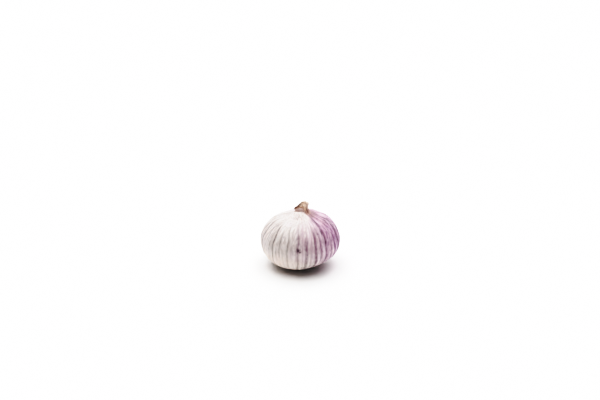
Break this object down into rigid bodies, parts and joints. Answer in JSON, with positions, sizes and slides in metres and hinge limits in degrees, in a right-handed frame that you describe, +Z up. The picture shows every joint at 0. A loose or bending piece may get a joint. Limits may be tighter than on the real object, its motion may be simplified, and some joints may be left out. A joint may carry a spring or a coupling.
{
  "type": "garlic bulb",
  "caption": "Single-clove garlic bulb: squat, ribbed papery skin in white and purple, with a dry cut neck and a corky root plate to rest on.",
  "frame": {"origin": "middle of the root plate's flat underside, on the surface that the bulb rests on", "axes": "+Z up through the neck, -Y the front, +X the right side, where the purple is strongest"},
  "size_m": [0.0396, 0.0402, 0.0346],
  "materials": {
    "papery_skin": "satin papery skin, white with purple veins, more purple on its right side",
    "dry_neck": "dry tan leaf sheaths, fibrous and matte",
    "corky_root": "matte corky disc with trimmed root stubs"
  },
  "bodies": {
    "root": {"bulb": "papery_skin", "neck": "dry_neck", "root_plate": "corky_root"}
  },
  "joints": []
}
